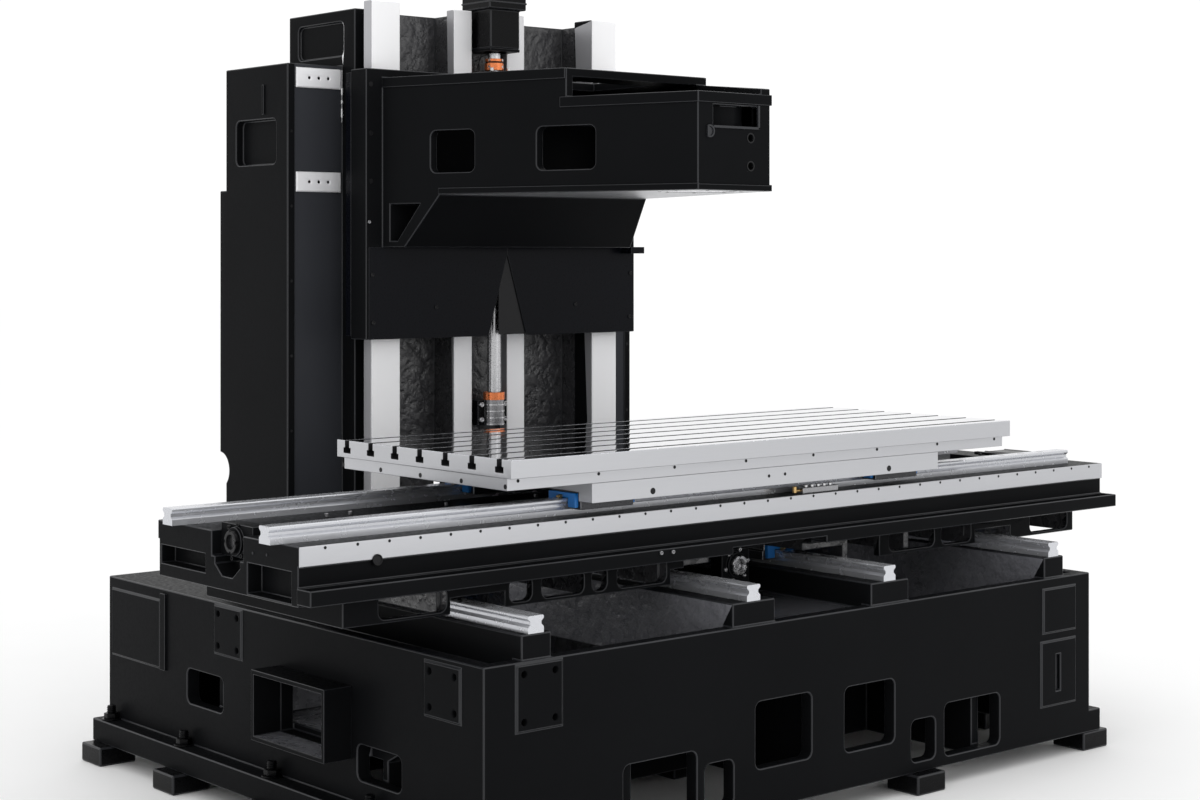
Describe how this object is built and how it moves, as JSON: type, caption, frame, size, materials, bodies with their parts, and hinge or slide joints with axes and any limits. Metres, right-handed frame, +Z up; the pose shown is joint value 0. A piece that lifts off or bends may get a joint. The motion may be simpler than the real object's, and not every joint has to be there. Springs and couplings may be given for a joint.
{
  "type": "bridge-bed vertical machining centre, castings and drives",
  "caption": "Large vertical machining centre shown bare: open base, long saddle, T-slotted table, box-way column, tapered spindle head, ball-screw drives.",
  "frame": {"origin": "on the floor, under the middle foot, on the machine's middle plane", "axes": "+X along the table to the operator's right, +Y from the operator to the column, +Z up"},
  "size_m": [3.397, 2.34, 2.745],
  "materials": {
    "casting_black": "satin black paint over a cast iron body",
    "table_iron": "ground grey iron",
    "sheet_black": "smooth satin black sheet",
    "rail_steel": "ground bright steel",
    "guide_steel": "dark steel block with blue end seals",
    "screw_steel": "rolled bright thread",
    "coupling_copper": "copper-coloured metal",
    "motor_black": "smooth black enamel",
    "foot_black": "black paint",
    "bracket_black": "satin black paint"
  },
  "bodies": {
    "base": {"base_casting": "casting_black", "chip_outlet": "casting_black", "column_casting": "casting_black", "levelling_bolts": "foot_black", "levelling_feet": "foot_black", "y_bearing_front": "bracket_black", "y_bearing_rear": "bracket_black", "y_motor": "motor_black", "y_motor_plate": "bracket_black", "y_rail_inner_left": "rail_steel", "y_rail_inner_right": "rail_steel", "y_rail_outer_left": "rail_steel", "y_rail_outer_right": "rail_steel", "z_bearing_lower": "bracket_black", "z_bearing_upper": "bracket_black", "z_motor": "motor_black", "z_motor_shelf": "bracket_black"},
    "saddle": {"saddle_casting": "casting_black", "x_bearing_left": "bracket_black", "x_bearing_right": "bracket_black", "x_motor": "motor_black", "x_motor_plate": "bracket_black", "x_rail_front": "rail_steel", "x_rail_rear": "rail_steel", "y_ball_nut": "guide_steel", "y_guide_inner_left_front": "guide_steel", "y_guide_inner_left_rear": "guide_steel", "y_guide_inner_right_front": "guide_steel", "y_guide_inner_right_rear": "guide_steel", "y_guide_outer_left_front": "guide_steel", "y_guide_outer_left_rear": "guide_steel", "y_guide_outer_right_front": "guide_steel", "y_guide_outer_right_rear": "guide_steel", "y_nut_bracket": "bracket_black"},
    "table": {"table_top": "table_iron", "x_ball_nut": "guide_steel", "x_guide_front_left": "guide_steel", "x_guide_front_right": "guide_steel", "x_guide_rear_left": "guide_steel", "x_guide_rear_right": "guide_steel"},
    "head": {"guard_left": "sheet_black", "guard_right": "sheet_black", "head_casting": "casting_black", "keeper_left": "sheet_black", "keeper_right": "sheet_black", "wiper_tab": "sheet_black", "z_ball_nut": "guide_steel"},
    "x_screw": {"x_coupling": "coupling_copper", "x_screw": "screw_steel"},
    "y_screw": {"y_coupling": "coupling_copper", "y_screw": "screw_steel"},
    "z_screw": {"z_coupling": "coupling_copper", "z_screw": "screw_steel"}
  },
  "joints": [
    {"name": "y_axis", "type": "slide", "parent": "base", "child": "saddle", "axis": [0, 1, 0], "range_m": [-0.45, 0.41]},
    {"name": "x_axis", "type": "slide", "parent": "saddle", "child": "table", "axis": [1, 0, 0], "range_m": [-0.97, 0.83]},
    {"name": "z_axis", "type": "slide", "parent": "base", "child": "head", "axis": [0, 0, 1], "range_m": [-0.5, 0.23]},
    {"name": "x_screw_spin", "type": "hinge", "parent": "saddle", "child": "x_screw", "pos_m": [0, -0.0585, 0.895], "axis": [1, 0, 0], "continuous": true},
    {"name": "y_screw_spin", "type": "hinge", "parent": "base", "child": "y_screw", "pos_m": [0, 0, 0.701], "axis": [0, 1, 0], "continuous": true},
    {"name": "z_screw_spin", "type": "hinge", "parent": "base", "child": "z_screw", "pos_m": [0, 0.958, 1.5], "axis": [0, 0, 1], "continuous": true}
  ],
  "couplings": [
    {"joint": "x_screw_spin", "follows": "x_axis", "rad_per_m": -392.7},
    {"joint": "y_screw_spin", "follows": "y_axis", "rad_per_m": -392.7},
    {"joint": "z_screw_spin", "follows": "z_axis", "rad_per_m": -392.7}
  ]
}
